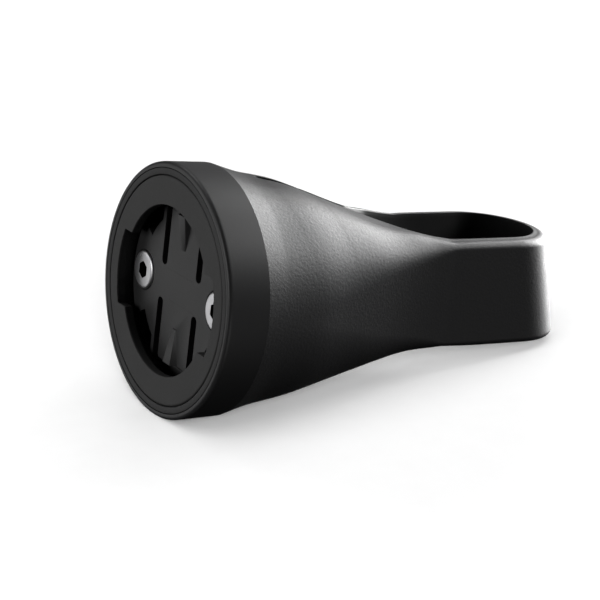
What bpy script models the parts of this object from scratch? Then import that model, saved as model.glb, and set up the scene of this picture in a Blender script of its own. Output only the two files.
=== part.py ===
"""Quarter-turn stretch-strap mount: a bayonet socket on an elastomer cone that ends in a strap loop.

Units are metres, +Z is up the post, the socket faces -Y and the loop runs back along +Y.
The origin is the centre of the detent plate's front face, which is the floor of the socket.
"""
import math

import bmesh
import bpy
from mathutils import Vector

MM = 0.001
SEGMENTS = 64                    # facets round a turned piece, a multiple of four
FINE_SEGMENTS = 32               # facets round a screw or an insert

# Clearances
GAP = 0.30 * MM                  # between neighbours that touch on the real mount

# Socket
SOCKET_DEPTH = 2.85 * MM         # front face to the floor of the socket
OPENING_RADIUS = 13.5 * MM       # bayonet opening between the lips
NOTCH_HALF_HEIGHT = 6.2 * MM     # the two notches have level sides
NOTCH_CLEARANCE = 1.0 * MM       # how far the notch cuts run past the lips
LIP_THICKNESS = 1.5 * MM
RING_RADIUS = 18.0 * MM          # outside of the bayonet ring
RING_DEPTH = 4.5 * MM            # front face to the back of the bayonet ring
RING_EDGE = 0.35 * MM            # rounded outer front edge

# Detent plate and tongues
PLATE_THICKNESS = 1.8 * MM
CUTOUT_RADIUS = 12.0 * MM        # inner edge of the four arc-shaped cut-outs
CUTOUT_ANGLE = math.radians(31.0)    # where a cut-out starts, from the screw's side
WING_WIDTH = 0.9 * MM            # strip left between a slot and a cut-out
SLOT_WIDTH = 1.7 * MM
TONGUE_WIDTH = 9.3 * MM
TONGUE_ROOT = 2.7 * MM           # height of the tongue's bending line
TONGUE_LENGTH = 9.7 * MM
TONGUE_THICKNESS = 1.2 * MM
TONGUE_CORNER = 0.6 * MM
WEDGE_START = 3.75 * MM          # from the bending line to the wedge's low end
WEDGE_LENGTH = 5.6 * MM
WEDGE_HALF_WIDTH = 1.85 * MM     # at the high end
WEDGE_TIP_HALF_WIDTH = 0.75 * MM
WEDGE_HEIGHT = 1.0 * MM
WEDGE_TIP_HEIGHT = 0.15 * MM
WEDGE_TOP_SHARE = 0.6            # the ramp's width as a share of the wedge's base
TONGUE_TRAVEL = 1.2 * MM         # room behind a tongue

# Screws and inserts
SCREW_SPREAD = 11.8 * MM         # screw axis from the middle
SCREW_WEB = 0.4 * MM             # plate left outside a screw head
SCREW_HEAD_RADIUS = 3.1 * MM
SCREW_HEAD_RISE = 0.3 * MM       # how far the crown stands out of the plate
SCREW_CROWN_SHARE = 0.75         # flat of the crown as a share of the head
SCREW_RIM = 0.15 * MM
SCREW_CHAMFER = 0.3 * MM
SCREW_SHANK_RADIUS = 1.25 * MM
SCREW_LENGTH = 6.0 * MM
SCREW_SOCKET_FLATS = 2.5 * MM
SCREW_SOCKET_DEPTH = 1.1 * MM
INSERT_RADIUS = 2.2 * MM
INSERT_LENGTH = 4.0 * MM
INSERT_GROOVE = 0.3 * MM

# Carrier cup
RIM_RADIUS = 19.15 * MM          # outside of the cup under the collar
NECK_RADIUS = 15.6 * MM          # waist that the strap is moulded round
NECK_LENGTH = 1.6 * MM
FLANGE_RADIUS = 16.8 * MM        # flange that keeps the strap on
FLANGE_LENGTH = 2.2 * MM

# Collar
COLLAR_RADIUS = 20.25 * MM
COLLAR_TAPER = 0.15 * MM         # how much thinner it is at the back
COLLAR_LENGTH = 6.9 * MM
COLLAR_EDGE = 0.5 * MM

# Strap body
TAPER_LENGTH = 41.0 * MM         # collar to where the strap is parallel
STRAP_HALF_HEIGHT = 9.4 * MM
STRAP_HALF_WIDTH = 10.75 * MM    # outside of the loop
STRAP_WALL = 2.4 * MM
STRAP_EDGE = 1.5 * MM            # rounding of the loop's outer edges
LOOP_CENTRE = 60.95 * MM         # centre of the loop's round end
LOOP_STRETCH = 0.45 * MM         # how much longer than a half circle the round end is
LEAN = math.radians(14.5)        # the post leans this much from the face's plane
SLOT_START = 16.3 * MM           # front end of the slit between the two arms
SLOT_STEP = 24.5 * MM            # where the slit gets wider
SLIT_HALF_WIDTH = 1.1 * MM
WIDE_SLIT_HALF_WIDTH = 1.9 * MM
THROAT_HALF_WIDTH = 2.2 * MM     # end of the slit, at the loop
THROAT = 31.5 * MM
FLARE_LENGTH = 21.0 * MM         # throat to the parallel part of the loop

# Shape of the taper, front to back: share of the length, then how much of the collar's
# height, width and roundness is left
TAPER = (
    (0.000, 1.000, 1.000, 1.000),
    (0.050, 0.940, 0.955, 0.975),
    (0.130, 0.855, 0.885, 0.905),
    (0.290, 0.733, 0.740, 0.780),
    (0.440, 0.550, 0.555, 0.605),
    (0.590, 0.355, 0.370, 0.400),
    (0.710, 0.222, 0.225, 0.270),
    (0.820, 0.120, 0.110, 0.170),
    (0.910, 0.050, 0.040, 0.085),
    (1.000, 0.000, 0.000, 0.000),
)

# Shape of the flare, front to back: share of the length, then share of the widening
FLARE = (
    (0.000, 0.000),
    (0.086, 0.030),
    (0.176, 0.146),
    (0.262, 0.325),
    (0.352, 0.553),
    (0.438, 0.730),
    (0.529, 0.813),
    (0.624, 0.878),
    (0.714, 0.927),
    (0.810, 0.967),
    (0.905, 0.992),
    (1.000, 1.000),
)

FACE = -SOCKET_DEPTH             # front face's place along Y
PLATE_RADIUS = SCREW_SPREAD + SCREW_HEAD_RADIUS + SCREW_WEB
UNDERCUT_RADIUS = PLATE_RADIUS + 2 * GAP    # wall behind the lips
NOTCH_RADIUS = UNDERCUT_RADIUS - GAP        # outer wall of the two notches
CUP_FLOOR = PLATE_THICKNESS + GAP
COLLAR_END = FACE + COLLAR_LENGTH
STRAP_FRONT = COLLAR_END + GAP
CUP_BACK = STRAP_FRONT + NECK_LENGTH + FLANGE_LENGTH
FLAT_ANGLE = math.pi / 2


def clear_scene():
    for old in list(bpy.data.objects):
        bpy.data.objects.remove(old, do_unlink=True)


def new_collection(name):
    collection = bpy.data.collections.new(name)
    bpy.context.scene.collection.children.link(collection)
    return collection


def new_material(name, colour, roughness, metallic=0.0):
    material = bpy.data.materials.new(name)
    material.use_nodes = True
    shader = material.node_tree.nodes["Principled BSDF"]
    shader.inputs["Base Color"].default_value = (*colour, 1.0)
    shader.inputs["Roughness"].default_value = roughness
    shader.inputs["Metallic"].default_value = metallic
    material.diffuse_color = (*colour, 1.0)
    return material


clear_scene()
PARTS = new_collection("quarter_turn_strap_mount")
CUTTERS = new_collection("cutters")
ROOT = bpy.data.objects.new("mount_frame", None)
PARTS.objects.link(ROOT)


def add_object(name, mesh, material=None, location=(0.0, 0.0, 0.0)):
    """A part when it has a material, and a cutter when it has none."""
    obj = bpy.data.objects.new(name, mesh)
    obj.location = location
    if material is None:
        CUTTERS.objects.link(obj)
        obj.hide_render = True
        obj.display_type = "WIRE"
        return obj
    PARTS.objects.link(obj)
    obj.data.materials.append(material)
    obj.parent = ROOT
    return obj


def shade(mesh, angle=35.0):
    mesh.shade_smooth()
    mesh.set_sharp_from_angle(angle=math.radians(angle))


def arc(centre, radius, start, end, steps):
    """Points of an arc, angles in degrees, as (across, along) pairs."""
    points = []
    for i in range(steps + 1):
        angle = math.radians(start + (end - start) * i / steps)
        points.append((centre[0] + radius * math.cos(angle), centre[1] + radius * math.sin(angle)))
    return points


def winding(points):
    """Positive when the points run anticlockwise in radius and y."""
    following = points[1:] + points[:1]
    return sum(a[0] * b[1] - b[0] * a[1] for a, b in zip(points, following))


def turned(name, profile, material=None, location=(0.0, 0.0, 0.0), closed=False, segments=SEGMENTS):
    """Turn a profile of (radius, y) points round the Y axis through the location."""
    mesh = bpy.data.meshes.new(name)
    if winding(profile) > 0:
        profile = profile[::-1]
    points = [(radius, y, 0.0) for radius, y in profile]
    edges = [(i, i + 1) for i in range(len(points) - 1)]
    if closed:
        edges.append((len(points) - 1, 0))
    mesh.from_pydata(points, edges, [])
    obj = add_object(name, mesh, material, location)
    screw = obj.modifiers.new("Turn", "SCREW")
    screw.axis = "Y"
    screw.steps = segments
    screw.render_steps = segments
    screw.use_merge_vertices = True
    screw.merge_threshold = 0.00001
    screw.use_smooth_shade = True
    return obj


def flat_outline(name, loops, front, thickness):
    """A plate from outlines of (x, z) points, with its front at y = front, as a mesh."""
    curve = bpy.data.curves.new(name, "CURVE")
    curve.dimensions = "2D"
    curve.fill_mode = "BOTH"
    curve.extrude = thickness / 2
    for loop in loops:
        spline = curve.splines.new("POLY")
        spline.points.add(len(loop) - 1)
        for point, (x, z) in zip(spline.points, loop):
            point.co = (x, z, 0.0, 1.0)
        spline.use_cyclic_u = True
    outline = bpy.data.objects.new(name, curve)
    CUTTERS.objects.link(outline)
    bpy.context.view_layer.update()
    evaluated = outline.evaluated_get(bpy.context.evaluated_depsgraph_get())
    mesh = bpy.data.meshes.new_from_object(evaluated)
    bpy.data.objects.remove(outline, do_unlink=True)
    bm = bmesh.new()
    bm.from_mesh(mesh)
    bmesh.ops.remove_doubles(bm, verts=bm.verts, dist=0.000001)
    for vert in bm.verts:
        x, z, depth = vert.co
        vert.co = (x, front + thickness / 2 - depth, z)
    bmesh.ops.recalc_face_normals(bm, faces=bm.faces)
    bm.to_mesh(mesh)
    bm.free()
    return mesh


def boolean(target, cutter, operation="DIFFERENCE"):
    modifier = target.modifiers.new(cutter.name, "BOOLEAN")
    modifier.operation = operation
    modifier.solver = "EXACT"
    modifier.object = cutter


def box_mesh(name, low, high):
    bm = bmesh.new()
    bmesh.ops.create_cube(bm, size=1.0)
    low, high = Vector(low), Vector(high)
    for vert in bm.verts:
        share = vert.co + Vector((0.5, 0.5, 0.5))
        vert.co = [low[i] + share[i] * (high[i] - low[i]) for i in range(3)]
    mesh = bpy.data.meshes.new(name)
    bm.to_mesh(mesh)
    bm.free()
    return mesh


def collar():
    black = new_material("satin_black_plastic", (0.035, 0.035, 0.036), 0.45)
    inner = RIM_RADIUS + GAP
    back = COLLAR_RADIUS - COLLAR_TAPER
    profile = arc((COLLAR_RADIUS - COLLAR_EDGE, FACE + COLLAR_EDGE), COLLAR_EDGE, -90, 0, 4)
    profile += [(back, COLLAR_END), (inner, COLLAR_END), (inner, FACE)]
    turned("front_collar", profile, black, closed=True)


def carrier_cup():
    grey = new_material("matte_black_nylon", (0.030, 0.030, 0.031), 0.60)
    bed = RING_RADIUS + GAP
    ledge = FACE + RING_DEPTH + GAP
    well = PLATE_RADIUS + GAP
    shoulder = COLLAR_END
    flange = STRAP_FRONT + NECK_LENGTH
    profile = [
        (0.0, CUP_BACK), (FLANGE_RADIUS, CUP_BACK), (FLANGE_RADIUS, flange),
        (NECK_RADIUS, flange), (NECK_RADIUS, shoulder), (RIM_RADIUS, shoulder),
        (RIM_RADIUS, FACE), (bed, FACE), (bed, ledge), (well, ledge),
        (well, CUP_FLOOR), (0.0, CUP_FLOOR),
    ]
    cup = turned("carrier_cup", profile, grey)
    pocket = TONGUE_WIDTH / 2 + GAP
    for side, up in (("upper", 1), ("lower", -1)):
        ends = sorted((up * (TONGUE_ROOT - GAP), up * (TONGUE_ROOT + TONGUE_LENGTH + GAP)))
        low = (-pocket, 0.0, ends[0])
        high = (pocket, TONGUE_THICKNESS + TONGUE_TRAVEL + GAP, ends[1])
        name = "tongue_pocket_" + side
        boolean(cup, add_object(name, box_mesh(name, low, high)))
    for side, sign in (("left", -1), ("right", 1)):
        radius = INSERT_RADIUS + GAP
        depth = CUP_FLOOR + INSERT_LENGTH + 2 * GAP
        bore = [(0.0, depth), (radius, depth), (radius, 0.0), (0.0, 0.0)]
        name = "insert_bore_" + side
        place = (sign * SCREW_SPREAD, 0.0, 0.0)
        boolean(cup, turned(name, bore, None, place, segments=FINE_SEGMENTS))


def notch_outline(side):
    """Opens the lips at one side, from inside the opening to the notch's round wall."""
    high = NOTCH_HALF_HEIGHT
    inner = math.sqrt(OPENING_RADIUS ** 2 - high ** 2) - NOTCH_CLEARANCE
    half_angle = math.asin(high / NOTCH_RADIUS)
    steps = 16
    angles = [half_angle * (2 * i / steps - 1) for i in range(steps + 1)]
    outer = [(side * NOTCH_RADIUS * math.cos(a), NOTCH_RADIUS * math.sin(a)) for a in angles]
    return outer + [(side * inner, high), (side * inner, -high)]


def bayonet_ring():
    grey = new_material("matte_graphite_nylon", (0.042, 0.042, 0.042), 0.62)
    back = FACE + RING_DEPTH
    under = FACE + LIP_THICKNESS
    profile = arc((RING_RADIUS - RING_EDGE, FACE + RING_EDGE), RING_EDGE, -90, 0, 3)
    profile += [(RING_RADIUS, back), (UNDERCUT_RADIUS, back), (UNDERCUT_RADIUS, under),
                (OPENING_RADIUS, under), (OPENING_RADIUS, FACE)]
    ring = turned("bayonet_ring", profile, grey, closed=True)
    for name, side in (("notch_left", -1), ("notch_right", 1)):
        mesh = flat_outline(name, [notch_outline(side)], FACE - NOTCH_CLEARANCE,
                            LIP_THICKNESS + 2 * NOTCH_CLEARANCE)
        boolean(ring, add_object(name, mesh))


def plate_outline():
    """A quarter of the plate's edge, from the screw's side to the slot, then mirrored."""
    slot_inner = TONGUE_WIDTH / 2
    slot_outer = slot_inner + SLOT_WIDTH
    wing = slot_outer + WING_WIDTH
    end = TONGUE_ROOT + SLOT_WIDTH / 2
    bar = TONGUE_ROOT - GAP
    wing_angle = math.acos(wing / CUTOUT_RADIUS)
    quarter = []
    for i in range(7):
        angle = CUTOUT_ANGLE * i / 6
        quarter.append((PLATE_RADIUS * math.cos(angle), PLATE_RADIUS * math.sin(angle)))
    for i in range(7):
        angle = CUTOUT_ANGLE + (wing_angle - CUTOUT_ANGLE) * i / 6
        quarter.append((CUTOUT_RADIUS * math.cos(angle), CUTOUT_RADIUS * math.sin(angle)))
    wing_top = PLATE_RADIUS - 2 * GAP
    quarter.append((wing, math.sqrt(wing_top ** 2 - wing ** 2)))
    quarter.append((slot_outer, math.sqrt(wing_top ** 2 - slot_outer ** 2)))
    middle = (slot_inner + slot_outer) / 2
    quarter += arc((middle, end), SLOT_WIDTH / 2, 0, -90, 5)
    quarter.append((slot_inner, bar))
    upper = quarter + [(-x, z) for x, z in reversed(quarter)]
    return upper + [(x, -z) for x, z in reversed(upper[1:-1])]


def detent_plate():
    black = new_material("moulded_black_acetal", (0.024, 0.024, 0.025), 0.50)
    mesh = flat_outline("detent_plate", [plate_outline()], 0.0, PLATE_THICKNESS)
    plate = add_object("detent_plate", mesh, black)
    for side, sign in (("left", -1), ("right", 1)):
        head = SCREW_HEAD_RADIUS + GAP
        hole = SCREW_SHANK_RADIUS + GAP
        reach = SCREW_HEAD_RADIUS
        cone = SCREW_HEAD_RADIUS - SCREW_SHANK_RADIUS
        through = PLATE_THICKNESS + GAP
        profile = [(0.0, through), (hole, through), (hole, cone), (head, 0.0),
                   (head, -reach), (0.0, -reach)]
        name = "countersink_" + side
        place = (sign * SCREW_SPREAD, 0.0, 0.0)
        boolean(plate, turned(name, profile, None, place, segments=FINE_SEGMENTS))


def wedge_mesh(name, up):
    """Detent wedge, measured from the tongue's bending line: a ramp that widens as it rises."""
    tip, end = WEDGE_START, WEDGE_START + WEDGE_LENGTH
    wide, narrow = WEDGE_HALF_WIDTH, WEDGE_TIP_HALF_WIDTH
    base = [(-wide, end), (-narrow, tip), (narrow, tip), (wide, end)]
    heights = [WEDGE_HEIGHT, WEDGE_TIP_HEIGHT, WEDGE_TIP_HEIGHT, WEDGE_HEIGHT]
    sink = TONGUE_THICKNESS / 2
    bm = bmesh.new()
    low = [bm.verts.new((x, sink, up * z)) for x, z in base]
    foot = [bm.verts.new((x, 0.0, up * z)) for x, z in base]
    crest = [bm.verts.new((x * WEDGE_TOP_SHARE, -height, up * z))
             for (x, z), height in zip(base, heights)]
    bm.faces.new(low)
    bm.faces.new(crest)
    for ring, following in ((low, foot), (foot, crest)):
        for i in range(4):
            j = (i + 1) % 4
            bm.faces.new((ring[i], ring[j], following[j], following[i]))
    bmesh.ops.recalc_face_normals(bm, faces=bm.faces)
    mesh = bpy.data.meshes.new(name)
    bm.to_mesh(mesh)
    bm.free()
    return mesh


def tongue(name, up):
    """A sprung tongue whose origin is the middle of its bending line."""
    black = new_material(name + "_acetal", (0.024, 0.024, 0.025), 0.48)
    half = TONGUE_WIDTH / 2
    corner = TONGUE_CORNER
    loop = [(-half, 0.0), (half, 0.0)]
    loop += arc((half - corner, TONGUE_LENGTH - corner), corner, 0, 90, 4)
    loop += arc((corner - half, TONGUE_LENGTH - corner), corner, 90, 180, 4)
    loop = [(x, up * z) for x, z in loop]
    middle = TONGUE_THICKNESS / 2
    mesh = flat_outline(name, [loop], -middle, TONGUE_THICKNESS)
    place = (0.0, middle, up * TONGUE_ROOT)
    obj = add_object(name, mesh, black, place)
    wedge = add_object(name + "_wedge", wedge_mesh(name + "_wedge", up), None, (0.0, 0.0, place[2]))
    boolean(obj, wedge, "UNION")


def screw(name, sign):
    steel = new_material(name + "_steel", (0.62, 0.62, 0.63), 0.28, 1.0)
    head, shank = SCREW_HEAD_RADIUS, SCREW_SHANK_RADIUS
    place = (sign * SCREW_SPREAD, 0.0, 0.0)
    crown = head * SCREW_CROWN_SHARE
    profile = [
        (0.0, SCREW_LENGTH), (shank - SCREW_CHAMFER, SCREW_LENGTH),
        (shank, SCREW_LENGTH - SCREW_CHAMFER), (shank, head - shank + SCREW_RIM),
        (head, SCREW_RIM), (head, 0.0), (crown, -SCREW_HEAD_RISE), (0.0, -SCREW_HEAD_RISE),
    ]
    obj = turned(name, profile, steel, place, segments=FINE_SEGMENTS)
    bm = bmesh.new()
    across = SCREW_SOCKET_FLATS / math.sqrt(3)
    bmesh.ops.create_cone(bm, cap_ends=True, segments=6, radius1=across, radius2=across,
                          depth=2 * SCREW_SOCKET_DEPTH)
    mesh = bpy.data.meshes.new(name + "_socket")
    bm.to_mesh(mesh)
    bm.free()
    hexagon = add_object(name + "_socket", mesh, None, place)
    hexagon.rotation_euler = (FLAT_ANGLE, 0.0, 0.0)
    boolean(obj, hexagon)


def insert(name, sign):
    brass = new_material(name + "_brass", (0.70, 0.50, 0.22), 0.35, 1.0)
    front = CUP_FLOOR + GAP
    back = front + INSERT_LENGTH
    third = INSERT_LENGTH / 3
    bore = SCREW_SHANK_RADIUS + GAP
    waist = INSERT_RADIUS - INSERT_GROOVE
    profile = [
        (INSERT_RADIUS, front), (INSERT_RADIUS, front + third), (waist, front + third),
        (waist, back - third), (INSERT_RADIUS, back - third), (INSERT_RADIUS, back),
        (bore, back), (bore, front),
    ]
    place = (sign * SCREW_SPREAD, 0.0, 0.0)
    turned(name, profile, brass, place, closed=True, segments=FINE_SEGMENTS)


def blend_value(rows, share, column):
    """Smooth curve through one column of a table."""
    for i in range(len(rows) - 1):
        if share <= rows[i + 1][0]:
            break
    left, right = rows[i], rows[i + 1]
    before, after = rows[max(i - 1, 0)], rows[min(i + 2, len(rows) - 1)]
    span = right[0] - left[0]
    slope_left = (right[column] - before[column]) / (right[0] - before[0])
    slope_right = (after[column] - left[column]) / (after[0] - left[0])
    t = (share - left[0]) / span
    a = (2 * t ** 3 - 3 * t ** 2 + 1) * left[column] + (3 * t ** 2 - 2 * t ** 3) * right[column]
    b = (t ** 3 - 2 * t ** 2 + t) * slope_left + (t ** 3 - t ** 2) * slope_right
    return a + b * span


def section(y):
    """Half height, half width and corner radius of the body at y."""
    radius = COLLAR_RADIUS - COLLAR_TAPER
    share = min(max((y - STRAP_FRONT) / TAPER_LENGTH, 0.0), 1.0)
    height = STRAP_HALF_HEIGHT + (radius - STRAP_HALF_HEIGHT) * blend_value(TAPER, share, 1)
    width = STRAP_HALF_WIDTH + (radius - STRAP_HALF_WIDTH) * blend_value(TAPER, share, 2)
    corner = STRAP_EDGE + (radius - STRAP_EDGE) * blend_value(TAPER, share, 3)
    return height, width, min(corner, height, width)


def section_points(y, count):
    """Rounded rectangle as (x, z) points, four equal corner arcs, starting beside +X."""
    height, width, corner = section(y)
    points = []
    for i in range(count):
        angle = 2 * math.pi * (i + 0.5) / count
        x = math.copysign(width - corner, math.cos(angle)) + corner * math.cos(angle)
        z = math.copysign(height - corner, math.sin(angle)) + corner * math.sin(angle)
        points.append((x, z))
    return points


def lean_share(y):
    """How much of the post's lean the outside has: none on the cone, all at the loop."""
    start = STRAP_FRONT + 0.8 * TAPER_LENGTH
    t = min(max((y - start) / (LOOP_CENTRE - start), 0.0), 1.0)
    return t * t * (3 - 2 * t)


def strap_shell():
    """Loft from the collar's circle to the strap's section, closed by a leaning half turn."""
    count = SEGMENTS
    stations = [STRAP_FRONT + TAPER_LENGTH * i / 24 for i in range(25)]
    straight = LOOP_CENTRE - stations[-1]
    stations += [stations[-1] + straight * i / 3 for i in range(1, 4)]
    bm = bmesh.new()
    rings = []
    for y in stations:
        shift = lean_share(y) * math.tan(LEAN)
        rings.append([bm.verts.new((x, y - z * shift, z)) for x, z in section_points(y, count)])
    for ring, following in zip(rings, rings[1:]):
        for i in range(count):
            j = (i + 1) % count
            bm.faces.new((ring[i], ring[j], following[j], following[i]))
    bm.faces.new(list(reversed(rings[0])))
    quarter = count // 4
    right = list(range(quarter - 1, -1, -1)) + list(range(count - 1, 3 * quarter - 1, -1))
    left = list(range(quarter, 3 * quarter))
    last = section_points(LOOP_CENTRE, count)
    columns = [[rings[-1][i] for i in right]]
    turns = 24
    for k in range(1, turns):
        angle = math.pi * k / turns
        column = []
        for i in right:
            x, z = last[i]
            along = (x + LOOP_STRETCH) * math.sin(angle) - z * math.tan(LEAN)
            column.append(bm.verts.new((x * math.cos(angle), LOOP_CENTRE + along, z)))
        columns.append(column)
    columns.append([rings[-1][i] for i in left])
    for column, following in zip(columns, columns[1:]):
        for i in range(len(column) - 1):
            bm.faces.new((column[i], column[i + 1], following[i + 1], following[i]))
    bm.faces.new([column[0] for column in columns])
    bm.faces.new([column[-1] for column in reversed(columns)])
    bmesh.ops.recalc_face_normals(bm, faces=bm.faces)
    mesh = bpy.data.meshes.new("strap_body")
    bm.to_mesh(mesh)
    bm.free()
    return mesh


def loop_outline():
    """Right half of the slit and the loop in plan, front to back."""
    inner = STRAP_HALF_WIDTH - STRAP_WALL
    slit = SLIT_HALF_WIDTH
    half = [(slit * math.sin(math.radians(a)), SLOT_START + slit * (1 - math.cos(math.radians(a))))
            for a in (15, 45, 90)]
    half.append((slit, SLOT_STEP))
    half.append((WIDE_SLIT_HALF_WIDTH, SLOT_STEP + WIDE_SLIT_HALF_WIDTH - slit))
    steps = 18
    for i in range(steps + 1):
        widening = (inner - THROAT_HALF_WIDTH) * blend_value(FLARE, i / steps, 1)
        half.append((THROAT_HALF_WIDTH + widening, THROAT + FLARE_LENGTH * i / steps))
    turns = 16
    for k in range(turns):
        angle = FLAT_ANGLE * k / turns
        reach = (inner + LOOP_STRETCH) * math.sin(angle)
        half.append((inner * math.cos(angle), LOOP_CENTRE + reach))
    return half


def loop_cutter():
    half = loop_outline()
    inner = STRAP_HALF_WIDTH - STRAP_WALL
    tip = (0.0, LOOP_CENTRE + inner + LOOP_STRETCH)
    outline = half + [tip] + [(-x, y) for x, y in reversed(half)]
    reach = 1.2 * COLLAR_RADIUS
    bm = bmesh.new()
    shift = reach * math.tan(LEAN)
    bottom = [bm.verts.new((x, y + shift, -reach)) for x, y in outline]
    top = [bm.verts.new((x, y - shift, reach)) for x, y in outline]
    bm.faces.new(bottom)
    bm.faces.new(top)
    for i in range(len(outline)):
        j = (i + 1) % len(outline)
        bm.faces.new((bottom[i], bottom[j], top[j], top[i]))
    bmesh.ops.recalc_face_normals(bm, faces=bm.faces)
    mesh = bpy.data.meshes.new("loop_cutter")
    bm.to_mesh(mesh)
    bm.free()
    return add_object("loop_cutter", mesh)


def cup_cutter():
    """The space that the carrier cup's neck and flange take in the cone."""
    flange = STRAP_FRONT + NECK_LENGTH - GAP
    back = CUP_BACK + GAP
    front = STRAP_FRONT - 2 * GAP
    neck = NECK_RADIUS + GAP
    wide = FLANGE_RADIUS + GAP
    profile = [(0.0, back), (wide, back), (wide, flange), (neck, flange), (neck, front), (0.0, front)]
    return turned("cup_cutter", profile)


def strap_body():
    rubber = new_material("grained_black_elastomer", (0.040, 0.040, 0.041), 0.55)
    body = add_object("strap_body", strap_shell(), rubber)
    shade(body.data)
    boolean(body, cup_cutter())
    boolean(body, loop_cutter())


collar()
carrier_cup()
bayonet_ring()
detent_plate()
tongue("tongue_upper", 1)
tongue("tongue_lower", -1)
screw("screw_left", -1)
screw("screw_right", 1)
insert("insert_left", -1)
insert("insert_right", 1)
strap_body()
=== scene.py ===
import math

import bmesh
import bpy
from mathutils import Matrix, Vector


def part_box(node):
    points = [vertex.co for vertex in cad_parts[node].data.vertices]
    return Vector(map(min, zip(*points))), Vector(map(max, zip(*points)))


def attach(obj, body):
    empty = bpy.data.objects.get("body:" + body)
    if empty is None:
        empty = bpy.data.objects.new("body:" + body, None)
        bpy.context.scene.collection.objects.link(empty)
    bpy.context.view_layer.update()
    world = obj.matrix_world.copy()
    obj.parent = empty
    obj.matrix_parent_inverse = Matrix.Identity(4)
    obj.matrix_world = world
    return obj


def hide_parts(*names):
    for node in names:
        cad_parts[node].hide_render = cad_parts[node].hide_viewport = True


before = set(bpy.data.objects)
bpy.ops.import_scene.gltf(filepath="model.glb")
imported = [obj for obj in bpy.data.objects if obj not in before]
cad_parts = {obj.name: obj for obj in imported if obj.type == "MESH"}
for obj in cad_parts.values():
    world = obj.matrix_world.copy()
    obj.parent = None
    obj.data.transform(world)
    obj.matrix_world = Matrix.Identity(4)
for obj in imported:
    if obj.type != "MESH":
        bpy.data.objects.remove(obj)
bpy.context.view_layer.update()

mm = 0.001
fullTurn = 2 * math.pi
quarterTurn = math.pi / 2
weld = 0.002 * mm
hair = 0.01 * mm


# ---- shader helpers: one class wraps a socket, one method makes every node

class Signal:
    def __init__(self, bench, socket):
        self.bench = bench
        self.socket = socket

    def join(self, operation, other, flipped=False):
        pair = (other, self) if flipped else (self, other)
        node = self.bench.add("ShaderNodeMath", {"operation": operation}, {0: pair[0], 1: pair[1]})
        return Signal(self.bench, node.outputs[0])

    def __add__(self, other):
        return self.join("ADD", other)

    def __radd__(self, other):
        return self.join("ADD", other, True)

    def __sub__(self, other):
        return self.join("SUBTRACT", other)

    def __rsub__(self, other):
        return self.join("SUBTRACT", other, True)

    def __mul__(self, other):
        return self.join("MULTIPLY", other)

    def __rmul__(self, other):
        return self.join("MULTIPLY", other, True)

    def __pow__(self, other):
        return self.join("POWER", other)

    def size(self):
        return self.join("ABSOLUTE", 0.0)

    def ramp(self, low, high, start=0.0, end=1.0):
        # smooth step from start at low to end at high
        node = self.bench.add("ShaderNodeMapRange", {"interpolation_type": "SMOOTHSTEP"},
                              {"Value": self, "From Min": low, "From Max": high,
                               "To Min": start, "To Max": end})
        return Signal(self.bench, node.outputs["Result"])


class NodeBench:
    def __init__(self, tree):
        self.nodes = tree.nodes
        self.links = tree.links

    def add(self, kind, settings, values):
        node = self.nodes.new(kind)
        for setting, value in settings.items():
            setattr(node, setting, value)
        for name, value in values.items():
            self.plug(node.inputs[name], value)
        return node

    def plug(self, socket, value):
        if isinstance(value, Signal):
            self.links.new(value.socket, socket)
        else:
            socket.default_value = value


class Finish(NodeBench):
    def __init__(self, name):
        self.material = bpy.data.materials.new(name)
        self.material.use_nodes = True
        super().__init__(self.material.node_tree)
        self.shader = self.nodes["Principled BSDF"]

    def place(self):
        # object coordinates, in metres
        node = self.add("ShaderNodeTexCoord", {}, {})
        return Signal(self, node.outputs["Object"])

    def split(self, vector):
        node = self.add("ShaderNodeSeparateXYZ", {}, {0: vector})
        return [Signal(self, node.outputs[i]) for i in range(3)]

    def noise(self, vector, scale, detail=2.0, roughness=0.5):
        node = self.add("ShaderNodeTexNoise", {}, {"Vector": vector, "Scale": scale,
                                                   "Detail": detail, "Roughness": roughness})
        return Signal(self, node.outputs["Fac"])

    def cells(self, vector, scale, feature="SMOOTH_F1"):
        node = self.add("ShaderNodeTexVoronoi", {"feature": feature},
                        {"Vector": vector, "Scale": scale})
        return Signal(self, node.outputs["Distance"])

    def stretch(self, vector, scale):
        node = self.add("ShaderNodeMapping", {}, {"Vector": vector, "Scale": scale})
        return Signal(self, node.outputs["Vector"])

    def blendSignals(self, share, first, second):
        node = self.add("ShaderNodeMix", {"data_type": "RGBA"}, {"Factor": share})
        self.plug(node.inputs[6], first)
        self.plug(node.inputs[7], second)
        return Signal(self, node.outputs[2])

    def blendColour(self, share, first, second):
        return self.blendSignals(share, (*first, 1.0), (*second, 1.0))

    def bump(self, height, depth):
        node = self.add("ShaderNodeBump", {}, {"Height": height, "Distance": depth})
        self.plug(self.shader.inputs["Normal"], Signal(self, node.outputs["Normal"]))

    def wear(self, **values):
        # Principled sockets by name, such as baseColor=... or roughness=...
        names = {"baseColor": "Base Color", "roughness": "Roughness", "metallic": "Metallic",
                 "specular": "Specular IOR Level"}
        for name, value in values.items():
            self.plug(self.shader.inputs[names[name]], value)
        return self.material


# ---- mesh helpers

def newPiece(bm, name, finish, sharpAngle=32):
    mesh = bpy.data.meshes.new(name)
    bm.to_mesh(mesh)
    bm.free()
    mesh.shade_smooth()
    mesh.set_sharp_from_angle(angle=math.radians(sharpAngle))
    piece = bpy.data.objects.new(name, mesh)
    bpy.context.scene.collection.objects.link(piece)
    mesh.materials.append(finish)
    return piece


def standFor(piece, node, body):
    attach(piece, body)
    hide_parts(node)
    print("made", piece.name, "for", node)


def closeUp(bm):
    bmesh.ops.remove_doubles(bm, verts=bm.verts, dist=weld)
    bmesh.ops.recalc_face_normals(bm, faces=bm.faces)


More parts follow.
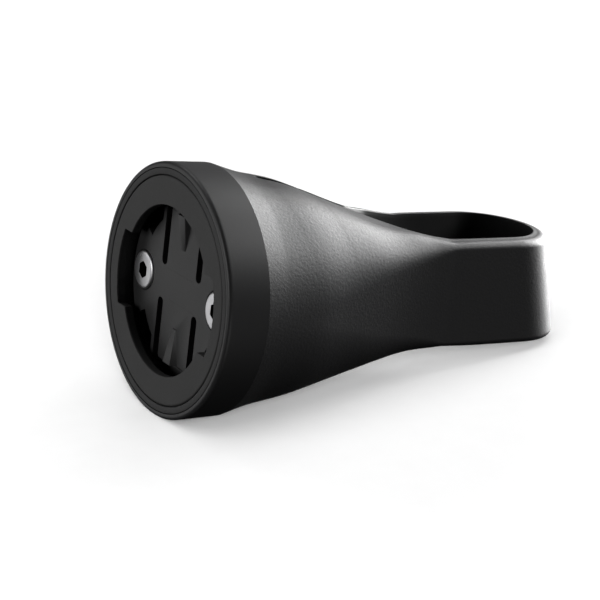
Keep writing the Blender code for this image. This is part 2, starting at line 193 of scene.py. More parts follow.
def spunShape(profile, steps, centre=(0.0, 0.0, 0.0), closed=True):
    # turns (radius, y) points round the Y axis through the centre
    bm = bmesh.new()
    corners = [bm.verts.new((radius, y, 0.0)) for radius, y in profile]
    edges = [bm.edges.new(pair) for pair in zip(corners, corners[1:])]
    if closed:
        edges.append(bm.edges.new((corners[-1], corners[0])))
    bmesh.ops.spin(bm, geom=corners + edges, cent=(0, 0, 0), axis=(0, 1, 0), angle=fullTurn,
                   steps=steps, use_merge=True)
    closeUp(bm)
    bmesh.ops.translate(bm, verts=bm.verts, vec=Vector(centre))
    return bm


def roundRing(bm, radius, y, width, segments=3):
    # rounds the circular edge at that radius and y
    def isThere(vert):
        across = math.hypot(vert.co.x, vert.co.z)
        return abs(across - radius) < hair and abs(vert.co.y - y) < hair
    ring = [edge for edge in bm.edges if isThere(edge.verts[0]) and isThere(edge.verts[1])]
    bmesh.ops.bevel(bm, geom=ring, offset=width, segments=segments, affect="EDGES", profile=0.5,
                    material=-1)


def mergedCopy(node, flatWithin=1.0):
    # the CAD node's own shape with its triangles merged into flat faces
    bm = bmesh.new()
    bm.from_mesh(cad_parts[node].data)
    bmesh.ops.remove_doubles(bm, verts=bm.verts, dist=2 * weld)
    bmesh.ops.dissolve_limit(bm, angle_limit=math.radians(flatWithin), verts=bm.verts,
                             edges=bm.edges)
    return bm


def softenEdges(piece, width, segments=3, angle=40):
    bevel = piece.modifiers.new("softEdges", "BEVEL")
    bevel.width = width
    bevel.segments = segments
    bevel.limit_method = "ANGLE"
    bevel.angle_limit = math.radians(angle)
    bevel.harden_normals = True


def carve(piece, cutterShape):
    # cuts the shape out of the piece and keeps the result in the piece's own mesh
    mesh = bpy.data.meshes.new("cutter")
    cutterShape.to_mesh(mesh)
    cutterShape.free()
    cutter = bpy.data.objects.new("cutter", mesh)
    bpy.context.scene.collection.objects.link(cutter)
    cut = piece.modifiers.new("cut", "BOOLEAN")
    cut.object = cutter
    bpy.context.view_layer.update()
    graph = bpy.context.evaluated_depsgraph_get()
    carved = bpy.data.meshes.new_from_object(piece.evaluated_get(graph))
    piece.modifiers.clear()
    piece.data = carved
    bpy.data.objects.remove(cutter)


# ---- where things are, read from the frame

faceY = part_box("front_collar")[0].y
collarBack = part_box("front_collar")[1].y
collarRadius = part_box("front_collar")[1].x
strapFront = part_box("strap_body")[0].y
screwSpots = {side: (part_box("screw_" + side)[0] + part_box("screw_" + side)[1]) / 2
              for side in ("left", "right")}


# ---- strap body: the grained cone and the closed loop

strap = {
    "taperLength": 41.0 * mm,
    "halfHeight": 9.4 * mm,
    "halfWidth": 10.75 * mm,
    "wall": 2.4 * mm,
    "edge": 1.5 * mm,
    "loopCentre": 60.95 * mm,
    "stretch": 0.45 * mm,
    "lean": math.tan(math.radians(14.5)),
    "leanSteps": 5,
    "slitStart": 16.3 * mm,
    "slitStep": 24.5 * mm,
    "slit": 1.1 * mm,
    "wideSlit": 1.9 * mm,
    "throatHalf": 2.2 * mm,
    "throat": 31.5 * mm,
    "flareLength": 21.0 * mm,
    "frontRadius": 20.10 * mm,
    "neckRadius": 15.9 * mm,
    "flangeRadius": 17.1 * mm,
    "neckLength": 1.3 * mm,
    "cavity": 4.1 * mm,
    "holeEdge": 0.35 * mm,
    "crown": 30.0 * mm,
    "sharp": math.radians(40),
    "columns": 96,
    "wallColumns": 20,
    "coneRows": 14,
    "slitEndRows": 6,
    "slitRows": 6,
    "stepRows": 4,
    "throatRows": 8,
    "flareRows": 32,
    "armRows": 8,
    "endRows": 24,
    # share of the taper's length, then of the collar's height, width and roundness
    "taper": (
        (0.000, 1.000, 1.000, 1.000),
        (0.050, 0.940, 0.955, 0.975),
        (0.130, 0.855, 0.885, 0.905),
        (0.290, 0.733, 0.740, 0.780),
        (0.440, 0.550, 0.555, 0.605),
        (0.590, 0.355, 0.370, 0.400),
        (0.710, 0.222, 0.225, 0.270),
        (0.820, 0.120, 0.110, 0.170),
        (0.910, 0.050, 0.040, 0.085),
        (1.000, 0.000, 0.000, 0.000),
    ),
    # share of the flare's length, then of its widening
    "flare": (
        (0.000, 0.000),
        (0.086, 0.030),
        (0.176, 0.146),
        (0.262, 0.325),
        (0.352, 0.553),
        (0.438, 0.730),
        (0.529, 0.813),
        (0.624, 0.878),
        (0.714, 0.927),
        (0.810, 0.967),
        (0.905, 0.992),
        (1.000, 1.000),
    ),
}


def blendRows(rows, share, column):
    i = 0
    while i < len(rows) - 2 and share > rows[i + 1][0]:
        i += 1
    left, right = rows[i], rows[i + 1]
    before, after = rows[max(i - 1, 0)], rows[min(i + 2, len(rows) - 1)]
    slopeIn = (right[column] - before[column]) / (right[0] - before[0])
    slopeOut = (after[column] - left[column]) / (after[0] - left[0])
    span = right[0] - left[0]
    t = (share - left[0]) / span
    ends = (2 * t ** 3 - 3 * t ** 2 + 1) * left[column] + (3 * t ** 2 - 2 * t ** 3) * right[column]
    return ends + ((t ** 3 - 2 * t ** 2 + t) * slopeIn + (t ** 3 - t ** 2) * slopeOut) * span


def sectionAt(y):
    share = min(max((y - strapFront) / strap["taperLength"], 0.0), 1.0)
    radius = strap["frontRadius"]
    sizes = []
    for column, small in ((1, "halfHeight"), (2, "halfWidth"), (3, "edge")):
        sizes.append(strap[small] + (radius - strap[small]) * blendRows(strap["taper"], share, column))
    height, width, corner = sizes
    return height, width, min(corner, height, width)


def sectionPoint(y, start, t):
    # right half of the section, from the slit's edge on top (t = 0) round to the one below (t = 1)
    height, width, corner = sectionAt(y)
    flat = max(width - corner - start, 0.0)
    reach = min(max((start - (width - corner)) / corner, 0.0), 1.0)
    turn = math.acos(reach)
    side = height - corner
    length = flat + corner * turn + side
    flatPart = 0.5 * flat / length
    sidePart = 0.5 * side / length
    turnPart = 1.0 - flatPart - sidePart
    along = 2 * t if t <= 0.5 else 2 - 2 * t
    drop = flat * (flat + 2 * start) / (2 * strap["crown"])
    if along < flatPart:
        run = flat * along / flatPart
        x, z = start + run, height - run * (run + 2 * start) / (2 * strap["crown"])
    elif along < flatPart + turnPart or sidePart == 0.0:
        angle = turn * (1 - (along - flatPart) / turnPart)
        x = width - corner + corner * math.cos(angle)
        z = height - corner + (corner - drop) * math.sin(angle)
    else:
        x, z = width, side * (1 - (along - flatPart - turnPart) / sidePart)
    return x, z if t <= 0.5 else -z


def strapRows():
    # every row as (place along the strap, half width of the slit or loop, angle round the rear end)
    rows = []
    for i in range(strap["coneRows"]):
        share = i / strap["coneRows"]
        rows.append((strapFront + (strap["slitStart"] - strapFront) * share, 0.0, 0.0))
    armStart = len(rows)
    slit = strap["slit"]
    for i in range(strap["slitEndRows"] + 1):
        angle = quarterTurn * i / strap["slitEndRows"]
        rows.append((strap["slitStart"] + slit * (1 - math.cos(angle)), slit * math.sin(angle), 0.0))
    begin = rows[-1][0]
    for i in range(1, strap["slitRows"]):
        rows.append((begin + (strap["slitStep"] - begin) * i / strap["slitRows"], slit, 0.0))
    for i in range(strap["stepRows"] + 1):
        widen = (strap["wideSlit"] - slit) * i / strap["stepRows"]
        rows.append((strap["slitStep"] + widen, slit + widen, 0.0))
    begin = rows[-1][0]
    for i in range(1, strap["throatRows"]):
        share = i / strap["throatRows"]
        half = strap["wideSlit"] + (strap["throatHalf"] - strap["wideSlit"]) * share
        rows.append((begin + (strap["throat"] - begin) * share, half, 0.0))
    inner = strap["halfWidth"] - strap["wall"]
    for i in range(strap["flareRows"] + 1):
        share = i / strap["flareRows"]
        half = strap["throatHalf"]
        half += (inner - half) * blendRows(strap["flare"], share, 1)
        rows.append((strap["throat"] + strap["flareLength"] * share, half, 0.0))
    begin = rows[-1][0]
    for i in range(1, strap["armRows"] + 1):
        share = i / strap["armRows"]
        rows.append((begin + (strap["loopCentre"] - begin) * share, inner, 0.0))
    for i in range(1, strap["endRows"] + 1):
        rows.append((strap["loopCentre"], inner, quarterTurn * i / strap["endRows"]))
    return rows, armStart


def strapPoint(row, t):
    place, start, angle = row
    leanShare = (place - strapFront) / (strap["slitStart"] - strapFront)
    leanShare = min(max(leanShare, 0.0), 1.0)
    lean = strap["lean"] * leanShare * leanShare * (3 - 2 * leanShare)
    y = place
    for step in range(strap["leanSteps"]):
        x, z = sectionPoint(y, start, t)
        y = place - z * lean
    if angle:
        y = place + (x + strap["stretch"]) * math.sin(angle) - z * lean
        x = x * math.cos(angle)
    return Vector((x, y, z))


def wrapGrid(bm, columns, rows, wrap):
    # a flat grid whose points are then moved to wrap(column, row)
    grid = bmesh.ops.create_grid(bm, x_segments=columns, y_segments=rows, size=1.0)
    for vert in grid["verts"]:
        column = round((vert.co.x + 1) / 2 * columns)
        row = round((vert.co.y + 1) / 2 * rows)
        vert.co = wrap(column, row)


def strapShape():
    rows, armStart = strapRows()
    columns = strap["columns"]
    walls = strap["wallColumns"]
    bm = bmesh.new()
    wrapGrid(bm, columns, len(rows) - 1, lambda c, r: strapPoint(rows[r], c / columns))

    def wallPoint(column, row):
        line = rows[armStart + row]
        return strapPoint(line, 0.0).lerp(strapPoint(line, 1.0), column / walls)
    outside = set(bm.faces)
    wrapGrid(bm, walls, len(rows) - 1 - armStart, wallPoint)
    for face in bm.faces:
        if face not in outside:
            face.material_index = 1

    back = strapFront + strap["cavity"]
    neckEnd = strapFront + strap["neckLength"]
    cavity = [(strap["frontRadius"], strapFront), (strap["neckRadius"], strapFront),
              (strap["neckRadius"], neckEnd), (strap["flangeRadius"], neckEnd),
              (strap["flangeRadius"], back), (0.0, back)]

    def cavityPoint(column, row):
        radius, y = cavity[row]
        angle = quarterTurn - math.pi * column / columns
        return Vector((radius * math.cos(angle), y, radius * math.sin(angle)))
    wrapGrid(bm, columns, len(cavity) - 1, cavityPoint)
    bmesh.ops.mirror(bm, geom=bm.verts[:] + bm.edges[:] + bm.faces[:], matrix=Matrix.Identity(4),
                     merge_dist=weld, axis="X")
    closeUp(bm)

    def isHoleEdge(edge):
        if len(edge.link_faces) != 2 or edge.calc_face_angle() < strap["sharp"]:
            return False
        run = edge.verts[1].co - edge.verts[0].co
        middle = (edge.verts[0].co + edge.verts[1].co) / 2
        return middle.y > strap["throat"] and abs(run.z) < abs(run.x) + abs(run.y)
    holeEdges = [edge for edge in bm.edges if isHoleEdge(edge)]
    bmesh.ops.bevel(bm, geom=holeEdges, offset=strap["holeEdge"], segments=3, affect="EDGES",
                    profile=0.5, material=-1)
    return bm


elastomerLook = {
    "light": (0.034, 0.034, 0.035),
    "dark": (0.024, 0.024, 0.025),
    "roughness": 0.43,
    "depth": 0.030 * mm,
    "pebbles": 2500.0,
    "swirls": 3300.0,
    "fine": 9000.0,
    "clouds": 70.0,
    "tabFront": 5.4 * mm,
    "tabBack": 1.6 * mm,
    "tabStart": 10.0 * mm,
    "tabEnd": 21.0 * mm,
    "tabCut": 19.0 * mm,
    "tabHeight": 12.5 * mm,
    "keelHalf": 8.2 * mm,
    # painted shade: near-black colours for the walls of the slit and the loop
    "paintedWallShadeLight": (0.009, 0.009, 0.009),
    "paintedWallShadeDark": (0.005, 0.005, 0.005),
    "wallRoughness": 0.66,
    "wallDepth": 0.015 * mm,
}


def elastomerFinish():
    look = elastomerLook
    finish = Finish("grainedElastomer")
    place = finish.place()
    x, y, z = finish.split(place)
    # the tab on the crown is bounded by a fine witness line and has hardly any grain
    tabHalf = y.ramp(look["tabStart"], look["tabEnd"], look["tabFront"], look["tabBack"])
    offset = x.size() - tabHalf
    onCrown = z.size().ramp(look["tabHeight"], look["tabHeight"] + 1.5 * mm)
    ahead = y.ramp(look["tabCut"], look["tabCut"] + 1.5 * mm, 1.0, 0.0)
    line = offset.size().ramp(0.04 * mm, 0.16 * mm, 1.0, 0.0) * onCrown * ahead
    inside = offset.ramp(-0.2 * mm, 0.1 * mm, 1.0, 0.0) * onCrown * ahead
    # the grain is shallower along the crown and the keel than on the sides
    sides = x.size().ramp(look["keelHalf"], look["keelHalf"] + 0.4 * mm, 0.55, 1.0)
    grainPlace = finish.stretch(place, (1.0, 0.8, 1.0))
    pebble = finish.cells(grainPlace, look["pebbles"])
    swirl = finish.noise(grainPlace, look["swirls"], 3.0, 0.55)
    fine = finish.noise(place, look["fine"], 2.0, 0.6)
    grain = pebble * 0.55 + swirl * 0.9 + fine * 0.12
    finish.bump(grain * (1.0 - inside * 0.75) * sides - line * 0.3, look["depth"])
    cloud = finish.noise(place, look["clouds"], 3.0, 0.5)
    valley = swirl.ramp(0.35, 0.6, 1.0, 0.0)
    shade = finish.blendColour(cloud * 0.6 + valley * 0.4, look["light"], look["dark"])
    rough = cloud * 0.06 + valley * 0.05 + look["roughness"] - inside * 0.03
    return finish.wear(baseColor=shade, roughness=rough, specular=0.5)


def innerWallShadeFinish():
    # the walls of the slit and the loop are dull and lightly grained; their near-black colour is
    # painted shade, standing in for the shade that falls inside them
    look = elastomerLook
    finish = Finish("shadePaintedElastomer")
    place = finish.place()
    grain = finish.noise(place, 2600.0, 3.0, 0.6)
    rib = finish.noise(finish.stretch(place, (1.0, 1.0, 0.12)), 1500.0, 2.0, 0.5)
    finish.bump(grain * 0.7 + rib * 0.3, look["wallDepth"])
    # painted shade: the walls inside the slit and the loop are coloured near black where shade falls
    paintedShade = finish.blendColour(grain, look["paintedWallShadeLight"], look["paintedWallShadeDark"])
    return finish.wear(baseColor=paintedShade, roughness=grain * 0.12 + look["wallRoughness"])


strapPiece = newPiece(strapShape(), "strapBody", elastomerFinish())
strapPiece.data.materials.append(innerWallShadeFinish())
standFor(strapPiece, "strap_body", "mount")


# ---- collar and the parts of the socket

collarSizes = {
    "edge": 0.55 * mm,
    "taper": 0.15 * mm,
    "bore": 19.36 * mm,
    "support": 0.25 * mm,
    "reach": 0.29 * mm,
    "steps": 192,
    "light": (0.033, 0.033, 0.034),
    "dark": (0.027, 0.027, 0.028),
    "roughness": 0.40,
    "depth": 0.012 * mm,
    "witness": 3.1 * mm,
}


def satinFinish():
    # satin moulding with a faint orange peel and one fine witness line on top
    sizes = collarSizes
    finish = Finish("satinCollar")
    place = finish.place()
    x, y, z = finish.split(place)
    orange = finish.noise(place, 900.0, 3.0, 0.6)
    fine = finish.noise(place, 5200.0, 2.0, 0.6)
    line = (x - sizes["witness"]).size().ramp(0.03 * mm, 0.12 * mm, 1.0, 0.0)
    finish.bump(orange * 0.5 + fine * 0.35 - line * z.ramp(0.0, 5.0 * mm) * 0.8, sizes["depth"])
    cloud = finish.noise(place, 95.0, 3.0, 0.5)
    shade = finish.blendColour(cloud, sizes["light"], sizes["dark"])
    return finish.wear(baseColor=shade, roughness=cloud * 0.07 + fine * 0.04 + sizes["roughness"])


def collarShape():
    sizes = collarSizes
    back = collarBack + sizes["reach"]
    backRadius = collarRadius - sizes["taper"]
    held = faceY + sizes["edge"] + sizes["support"]
    bm = spunShape([(collarRadius, faceY), (collarRadius, held), (backRadius, back),
                    (sizes["bore"], back), (sizes["bore"], faceY)], sizes["steps"])
    roundRing(bm, collarRadius, faceY, sizes["edge"], 5)
    return bm


collarPiece = newPiece(collarShape(), "frontCollar", satinFinish())
standFor(collarPiece, "front_collar", "mount")


mattLooks = {
    "ring": {
        "light": (0.046, 0.046, 0.046),
        "dark": (0.038, 0.038, 0.038),
        "roughness": 0.55,
        "depth": 0.014 * mm,
        # radius inside which the recess walls get painted shade
        "shadedRecess": 15.95 * mm,
    },
    "cup": {
        "light": (0.040, 0.040, 0.040),
        "dark": (0.032, 0.032, 0.033),
        "roughness": 0.55,
        "depth": 0.014 * mm,
        "shadedRecess": 0.0,
    },
    "detent": {
        "light": (0.030, 0.030, 0.030),
        "dark": (0.023, 0.023, 0.024),
        "roughness": 0.42,
        "depth": 0.008 * mm,
        "shadedRecess": 0.0,
    },
}


def mattFinish(name, look):
    # fine spark-eroded mould finish for the face and the socket; the walls inside the recess get
    # painted shade, near black
    finish = Finish(name)
    place = finish.place()
    spark = finish.noise(place, 3200.0, 3.0, 0.65)
    pits = finish.cells(place, 2600.0, "F1")
    finish.bump(spark * 0.8 + pits * 0.35, look["depth"])
    cloud = finish.noise(place, 120.0, 3.0, 0.5)
    shade = finish.blendColour(cloud * 0.7 + spark * 0.3, look["light"], look["dark"])
    # painted shade: walls inside the ring's recess are coloured near black where shade falls
    if look["shadedRecess"]:
        x, y, z = finish.split(place)
        inside = ((x * x + z * z) ** 0.5).ramp(look["shadedRecess"], look["shadedRecess"] + 0.1 * mm, 1.0, 0.0)
        inside = inside * (y - faceY).ramp(0.12 * mm, 0.4 * mm)
        paintedShade = finish.blendColour(cloud, (0.008, 0.008, 0.008), (0.005, 0.005, 0.005))
        shade = finish.blendSignals(inside, shade, paintedShade)
    rough = cloud * 0.08 + spark * 0.06 + look["roughness"]
    return finish.wear(baseColor=shade, roughness=rough)


ringFinish = mattFinish("mattRing", mattLooks["ring"])
cupFinish = mattFinish("mattCup", mattLooks["cup"])
detentFinish = mattFinish("mouldedDetent", mattLooks["detent"])

ringSizes = {
    "radius": 18.10 * mm,
    "back": 4.5 * mm,
    "under": 1.5 * mm,
    "undercut": 15.9 * mm,
    "opening": 13.5 * mm,
    "notch": 15.6 * mm,
    "notchHalf": 6.2 * mm,
    "overcut": 0.5 * mm,
    "edge": 0.30 * mm,
    "support": 0.15 * mm,
    "softness": 0.10 * mm,
    "steps": 192,
}


def ringShape():
    sizes = ringSizes
    back = faceY + sizes["back"]
    under = faceY + sizes["under"]
    held = sizes["radius"] - sizes["edge"] - sizes["support"]
    bm = spunShape([(sizes["radius"], faceY), (sizes["radius"], back), (sizes["undercut"], back),
                    (sizes["undercut"], under), (sizes["opening"], under),
                    (sizes["opening"], faceY), (held, faceY)], sizes["steps"])
    roundRing(bm, sizes["radius"], faceY, sizes["edge"], 4)
    return bm


def notchCutter():
    # a slab of a cylinder, level above and below, that opens both notches at once
    sizes = ringSizes
    bm = bmesh.new()
    bmesh.ops.create_cone(bm, cap_ends=True, segments=sizes["steps"], radius1=sizes["notch"],
                          radius2=sizes["notch"], depth=2 * (sizes["under"] + sizes["overcut"]))
    bmesh.ops.rotate(bm, verts=bm.verts, matrix=Matrix.Rotation(quarterTurn, 3, "X"))
    bmesh.ops.translate(bm, verts=bm.verts, vec=(0, faceY, 0))
    for way in (1, -1):
        cut = bmesh.ops.bisect_plane(bm, geom=bm.verts[:] + bm.edges[:] + bm.faces[:],
                                     plane_co=(0, 0, way * sizes["notchHalf"]),
                                     plane_no=(0, 0, way), clear_outer=True)
        rim = [item for item in cut["geom_cut"] if isinstance(item, bmesh.types.BMEdge)]
        bmesh.ops.edgenet_fill(bm, edges=rim)
    closeUp(bm)
    return bm


ringPiece = newPiece(ringShape(), "bayonetRing", ringFinish)
carve(ringPiece, notchCutter())
softenEdges(ringPiece, ringSizes["softness"])
standFor(ringPiece, "bayonet_ring", "mount")


cupSizes = {
    "rim": 19.26 * mm,
    "bed": 18.20 * mm,
    "ledge": 1.95 * mm,
    "well": 15.6 * mm,
    "floor": 2.1 * mm,
    "neck": 15.6 * mm,
    "flange": 16.8 * mm,
    "neckLength": 1.9 * mm,
    "back": 8.15 * mm,
    "edge": 0.12 * mm,
    "softness": 0.08 * mm,
    "pocketHalf": 4.95 * mm,
    "pocketStart": 2.4 * mm,
    "pocketEnd": 12.7 * mm,
    "pocketFloor": 2.7 * mm,
    "bore": 2.5 * mm,
    "boreDepth": 6.7 * mm,
    "steps": 192,
}


def cupShape():
    sizes = cupSizes
    neckEnd = collarBack + sizes["neckLength"]
    bm = spunShape([(0.0, sizes["back"]), (sizes["flange"], sizes["back"]),
                    (sizes["flange"], neckEnd), (sizes["neck"], neckEnd),
                    (sizes["neck"], collarBack), (sizes["rim"], collarBack),
                    (sizes["rim"], faceY), (sizes["bed"], faceY), (sizes["bed"], sizes["ledge"]),
                    (sizes["well"], sizes["ledge"]), (sizes["well"], sizes["floor"]),
                    (0.0, sizes["floor"])], sizes["steps"], closed=False)
    roundRing(bm, sizes["rim"], faceY, sizes["edge"], 3)
    roundRing(bm, sizes["bed"], faceY, sizes["edge"], 3)
    return bm


def pocketCutter(way):
    sizes = cupSizes
    high = sizes["pocketEnd"] - sizes["pocketStart"]
    middle = (sizes["pocketEnd"] + sizes["pocketStart"]) / 2
    bm = bmesh.new()
    bmesh.ops.create_cube(bm, size=1.0)
    bmesh.ops.scale(bm, verts=bm.verts, vec=(2 * sizes["pocketHalf"], sizes["pocketFloor"], high))
    bmesh.ops.translate(bm, verts=bm.verts, vec=(0, sizes["pocketFloor"] / 2, way * middle))
    return bm


def boreCutter(spot):
    sizes = cupSizes
    return spunShape([(0.0, 0.0), (sizes["bore"], 0.0), (sizes["bore"], sizes["boreDepth"]),
                      (0.0, sizes["boreDepth"])], 64, (spot.x, 0.0, spot.z), closed=False)


cupPiece = newPiece(cupShape(), "carrierCup", cupFinish)
for way in (1, -1):
    carve(cupPiece, pocketCutter(way))
for spot in screwSpots.values():
    carve(cupPiece, boreCutter(spot))
softenEdges(cupPiece, cupSizes["softness"], 2)
standFor(cupPiece, "carrier_cup", "mount")


# ---- detent plate and the two sprung tongues, whose roots meet the plate

detentSizes = {
    "edge": 0.16 * mm,
    "half": 4.65 * mm,
    "root": 2.405 * mm,
    "rootEnd": 2.75 * mm,
    "slotEnd": 2.7 * mm,
    "fillet": 0.85 * mm,
    "filletGap": 0.03 * mm,
    "near": 0.1 * mm,
    "step": 0.02 * mm,
    "thinnest": 1.0 * mm,
}


def tongueShape(side, way):
    # the tongue's root runs out to the slots' middle and is filleted into a round slot end
    sizes = detentSizes
    bm = mergedCopy("tongue_" + side)
    for vert in bm.verts:
        if vert.co.z * way < sizes["rootEnd"]:
            vert.co.z = way * sizes["root"]
    bmesh.ops.bisect_plane(bm, geom=bm.verts[:] + bm.edges[:] + bm.faces[:],
                           plane_co=(0, 0, way * (sizes["slotEnd"] + weld / 2)),
                           plane_no=(0, 0, 1))
    for right in (1, -1):
        def isRootSide(face):
            middle = face.calc_center_median()
            return (face.normal.x * right > 0.9 and middle.z * way < sizes["slotEnd"]
                    and middle.x * right > sizes["half"] - sizes["near"])
        sides = [face for face in bm.faces if isRootSide(face)]
        grown = bmesh.ops.extrude_face_region(bm, geom=sides)["geom"]
        bmesh.ops.delete(bm, geom=sides, context="FACES")
        verts = [item for item in grown if isinstance(item, bmesh.types.BMVert)]
        bmesh.ops.translate(bm, verts=verts, vec=(right * sizes["fillet"], 0, 0))
        for vert in verts:
            if vert.co.z * way < sizes["slotEnd"] - sizes["near"]:
                vert.co.z = way * (sizes["slotEnd"] - sizes["step"])

        def isCorner(edge):
            middle = (edge.verts[0].co + edge.verts[1].co) / 2
            run = edge.verts[1].co - edge.verts[0].co
            return (abs(run.y) > sizes["thinnest"]
                    and abs(middle.x - right * sizes["half"]) < hair
                    and abs(middle.z * way - sizes["slotEnd"]) < 2 * hair)
        corners = [edge for edge in bm.edges if isCorner(edge)]
        bmesh.ops.bevel(bm, geom=corners, offset=sizes["fillet"] - sizes["filletGap"],
                        segments=8, affect="EDGES", profile=0.5, material=-1)
    bmesh.ops.recalc_face_normals(bm, faces=bm.faces)
    return bm


platePiece = newPiece(mergedCopy("detent_plate"), "detentPlate", detentFinish, sharpAngle=20)
softenEdges(platePiece, detentSizes["edge"])
standFor(platePiece, "detent_plate", "mount")

for side, way in (("upper", 1), ("lower", -1)):
    piece = newPiece(tongueShape(side, way), side + "Tongue", detentFinish, sharpAngle=20)
    softenEdges(piece, detentSizes["edge"])
    standFor(piece, "tongue_" + side, side + "_tongue")


# ---- screws

screwSizes = {
    "head": 3.1 * mm,
    "rise": 0.3 * mm,
    "crown": 0.82,
    "rim": 0.12 * mm,
    "shank": 1.25 * mm,
    "length": 6.0 * mm,
    "hexFlats": 2.5 * mm,
    "hexDepth": 1.5 * mm,
    "crownSteps": 6,
    "steps": 96,
    "softness": 0.05 * mm,
    "light": (0.80, 0.80, 0.81),
    "dark": (0.66, 0.66, 0.68),
    # painted shade for the inside of the hexagon socket
    "socketShadeLight": (0.05, 0.05, 0.05),
    "socketShadeDark": (0.03, 0.03, 0.03),
    "roughness": 0.36,
    "depth": 0.0015 * mm,
}


def screwShape(centre):
    sizes = screwSizes
    head, shank, rise = sizes["head"], sizes["shank"], sizes["rise"]
    cone = head - shank + sizes["rim"]
    crown = head * sizes["crown"]
    profile = [(0.0, sizes["length"]), (shank, sizes["length"]), (shank, cone),
               (head, sizes["rim"]), (head, 0.0)]
    for i in range(1, sizes["crownSteps"] + 1):
        angle = quarterTurn * i / sizes["crownSteps"]
        profile.append((crown + (head - crown) * math.cos(angle), -rise * math.sin(angle)))
    profile.append((0.0, -rise))
    return spunShape(profile, sizes["steps"], centre, closed=False)


def hexCutter(centre):
    sizes = screwSizes
    bm = bmesh.new()
    across = sizes["hexFlats"] / math.sqrt(3)
    bmesh.ops.create_cone(bm, cap_ends=True, segments=6, radius1=across, radius2=across,
                          depth=2 * sizes["hexDepth"])
    bmesh.ops.rotate(bm, verts=bm.verts, matrix=Matrix.Rotation(quarterTurn, 3, "X"))
    bmesh.ops.translate(bm, verts=bm.verts, vec=Vector(centre))
    return bm


def steelFinish():
    sizes = screwSizes
    finish = Finish("brightScrewSteel")
    place = finish.place()
    x, y, z = finish.split(place)
    turning = finish.noise(finish.stretch(place, (1.0, 0.2, 1.0)), 2600.0, 3.0, 0.6)
    scuff = finish.noise(place, 700.0, 4.0, 0.65)
    finish.bump(turning * 0.6 + scuff * 0.4, sizes["depth"])
    # painted shade: the hexagon socket is coloured near black to stand in for the shade inside it
    away = ((x.size() - screwSpots["right"].x) ** 2.0 + z ** 2.0) ** 0.5
    inside = away.ramp(1.50 * mm, 1.56 * mm, 1.0, 0.0) * y.ramp(-0.26 * mm, -0.20 * mm)
    shade = finish.blendColour(scuff, sizes["light"], sizes["dark"])
    socketShade = finish.blendColour(scuff, sizes["socketShadeLight"], sizes["socketShadeDark"])
    shade = finish.blendSignals(inside, shade, socketShade)
    return finish.wear(baseColor=shade, roughness=scuff * 0.10 + sizes["roughness"], metallic=1.0)


screwFinish = steelFinish()
for side, spot in screwSpots.items():
    centre = (spot.x, 0.0, spot.z)
    piece = newPiece(screwShape(centre), "screw" + side.title(), screwFinish)
    carve(piece, hexCutter(centre))
    softenEdges(piece, screwSizes["softness"], 2)
    standFor(piece, "screw_" + side, "mount")


# ---- threaded inserts stay as the CAD has them, with a machined brass finish

brassLook = {
    "light": (0.72, 0.50, 0.22),
    "dark": (0.52, 0.36, 0.15),
    "roughness": 0.25,
    "knurls": 2400.0,
    "depth": 0.05 * mm,
}


def brassFinish():
    look = brassLook
    finish = Finish("knurledBrass")
    place = finish.place()
    cut = finish.cells(finish.stretch(place, (1.0, 0.35, 1.0)), look["knurls"], "F1")
    tarnish = finish.noise(place, 500.0, 3.0, 0.6)
    finish.bump(cut, look["depth"])
    shade = finish.blendColour(tarnish, look["light"], look["dark"])
    return finish.wear(baseColor=shade, roughness=tarnish * 0.2 + look["roughness"], metallic=1.0)


insertFinish = brassFinish()
for side in screwSpots:
    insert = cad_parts["insert_" + side]
    for slot in insert.material_slots:
        slot.material = insertFinish
print("brass inserts finished")


# ---- floor, camera and light

stageSizes = {
    "floor": 3.0,
    "floorGap": 0.02 * mm,
    "reach": 0.7,
    "lamp": 0.36,
    "target": (0.0, 0.03, 0.0),
    "paperLight": (0.93, 0.93, 0.93),
    "paperDark": (0.90, 0.90, 0.90),
}


def restingPlane():
    # the mount rests on the rim of its face and on the rear lower edge of the loop
    foot = Vector((0.0, faceY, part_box("front_collar")[0].z))
    lowest = math.inf
    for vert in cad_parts["strap_body"].data.vertices:
        if vert.co.y > strap["loopCentre"]:
            lowest = min(lowest, (vert.co.z - foot.z) / (vert.co.y - foot.y))
    return foot, math.atan(lowest)


restFoot, restTilt = restingPlane()
floorUp = Vector((0.0, -math.sin(restTilt), math.cos(restTilt)))
print("floor tilt in degrees", round(math.degrees(restTilt), 2))


def paperFinish():
    finish = Finish("palePaper")
    fibre = finish.noise(finish.place(), 220.0, 4.0, 0.6)
    finish.bump(fibre, 0.02 * mm)
    shade = finish.blendColour(fibre, stageSizes["paperLight"], stageSizes["paperDark"])
    return finish.wear(baseColor=shade, roughness=0.9, specular=0.0)


def makeFloor():
    bm = bmesh.new()
    bmesh.ops.create_grid(bm, x_segments=2, y_segments=2, size=stageSizes["floor"])
    bmesh.ops.rotate(bm, verts=bm.verts, matrix=Matrix.Rotation(restTilt, 3, "X"))
    bmesh.ops.translate(bm, verts=bm.verts, vec=restFoot - floorUp * stageSizes["floorGap"])
    floor = newPiece(bm, "paperFloor", paperFinish())
    floor.visible_glossy = False
    floor.visible_diffuse = False
    floor.visible_shadow = False
    return floor


def aim(thing, target):
    look = (Vector(target) - thing.location).normalized()
    side = look.cross(floorUp).normalized()
    up = side.cross(look)
    thing.rotation_euler = Matrix((side, up, -look)).transposed().to_euler()


studioCamera = {
    "lens": 115.3,
    "sensor": 36.0,
    "near": 0.01,
    "place": (0.25142, -0.14671, 0.08092),
    "look": (-0.7991, 0.5392, -0.2657),
}


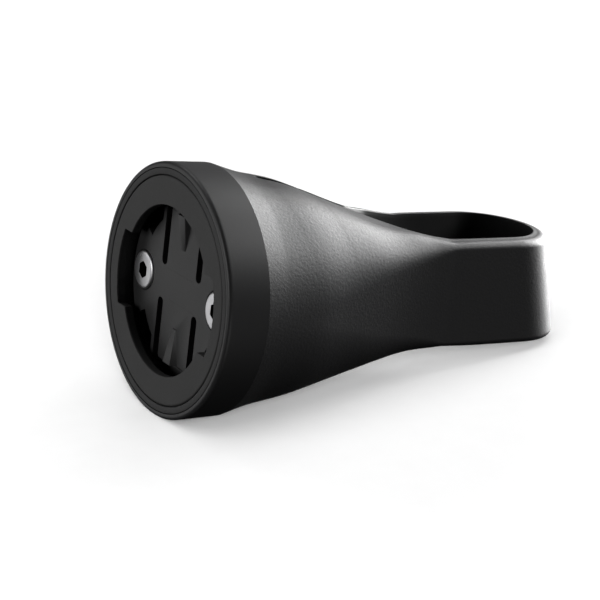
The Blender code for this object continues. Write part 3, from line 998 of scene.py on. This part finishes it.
def makeCamera():
    data = bpy.data.cameras.new("studioCamera")
    data.lens = studioCamera["lens"]
    data.sensor_width = studioCamera["sensor"]
    data.clip_start = studioCamera["near"]
    camera = bpy.data.objects.new("studioCamera", data)
    bpy.context.scene.collection.objects.link(camera)
    camera.location = studioCamera["place"]
    aim(camera, camera.location + Vector(studioCamera["look"]))
    bpy.context.scene.camera = camera


# azimuth and elevation in degrees seen from the mount, and power in watts
lamps = {
    "backLeftBox": (108, 32, 3.8),
    "backRightBox": (72, 32, 2.8),
    "lowBackBox": (105, 8, 11.0),
    "frontBox": (270, 8, 1.35),
    "leftBox": (225, 8, 0.4),
    "topLeftBox": (195, 56, 0.9),
    "leftBounce": (211, -17, 0.3),
    "nearBounce": (0, -20, 0.5),
}


# the paper's own lamps: azimuth, elevation, strength and spread in degrees
paperLamps = {
    "paperNear": (-30, 15, 3.3, 30),
    "paperRight": (15, 15, 0.75, 30),
    "paperRightHigh": (15, 40, 0.4, 50),
    "paperBackRight": (60, 15, 0.4, 30),
    "paperBack": (105, 40, 0.85, 50),
    "paperBackLeft": (150, 15, 1.34, 30),
    "paperLeft": (195, 15, 0.8, 30),
    "paperFront": (285, 40, 1.3, 50),
    "paperTop": (-30, 85, 0.45, 60),
}


def placeLamp(data, azimuth, elevation, lit):
    light = bpy.data.objects.new(data.name, data)
    bpy.context.scene.collection.objects.link(light)
    turn = math.radians(azimuth)
    rise = math.radians(elevation)
    target = Vector(stageSizes["target"])
    way = Vector((math.cos(rise) * math.cos(turn), math.cos(rise) * math.sin(turn), math.sin(rise)))
    light.location = target + way * stageSizes["reach"]
    aim(light, target)
    light.light_linking.receiver_collection = lit


def softbox(name, azimuth, elevation, power, lit):
    data = bpy.data.lights.new(name, "AREA")
    data.shape = "DISK"
    data.size = stageSizes["lamp"]
    data.energy = power
    placeLamp(data, azimuth, elevation, lit)


def paperSun(name, azimuth, elevation, strength, spread, lit):
    data = bpy.data.lights.new(name, "SUN")
    data.energy = strength
    data.angle = math.radians(spread)
    placeLamp(data, azimuth, elevation, lit)


def lightGroup(name, floor, state):
    group = bpy.data.collections.new(name)
    group.objects.link(floor)
    group.collection_objects[0].light_linking.link_state = state
    return group


def makeWorld():
    # white where the camera sees it, and it lights nothing
    world = bpy.data.worlds.new("paleStudio")
    world.use_nodes = True
    bench = NodeBench(world.node_tree)
    bench.nodes.clear()
    white = (1.0, 1.0, 1.0, 1.0)
    path = bench.add("ShaderNodeLightPath", {}, {})
    seen = bench.add("ShaderNodeBackground", {}, {"Color": white, "Strength": 1.0})
    dark = bench.add("ShaderNodeBackground", {}, {"Color": white, "Strength": 0.0})
    mix = bench.add("ShaderNodeMixShader", {}, {"Fac": Signal(bench, path.outputs["Is Camera Ray"]),
                                                1: Signal(bench, dark.outputs[0]),
                                                2: Signal(bench, seen.outputs[0])})
    bench.add("ShaderNodeOutputWorld", {}, {"Surface": Signal(bench, mix.outputs[0])})
    bpy.context.scene.world = world


paperFloor = makeFloor()
makeCamera()
# the lamps shape the mount alone, and the suns light the paper and cast its soft shadow
paperOnly = lightGroup("paperOnly", paperFloor, "INCLUDE")
allButPaper = lightGroup("allButPaper", paperFloor, "EXCLUDE")
for name, (azimuth, elevation, power) in lamps.items():
    softbox(name, azimuth, elevation, power, allButPaper)
for name, (azimuth, elevation, strength, spread) in paperLamps.items():
    paperSun(name, azimuth, elevation, strength, spread, paperOnly)
makeWorld()
bpy.context.scene.view_settings.view_transform = "Standard"
print("stage, camera and lights placed")
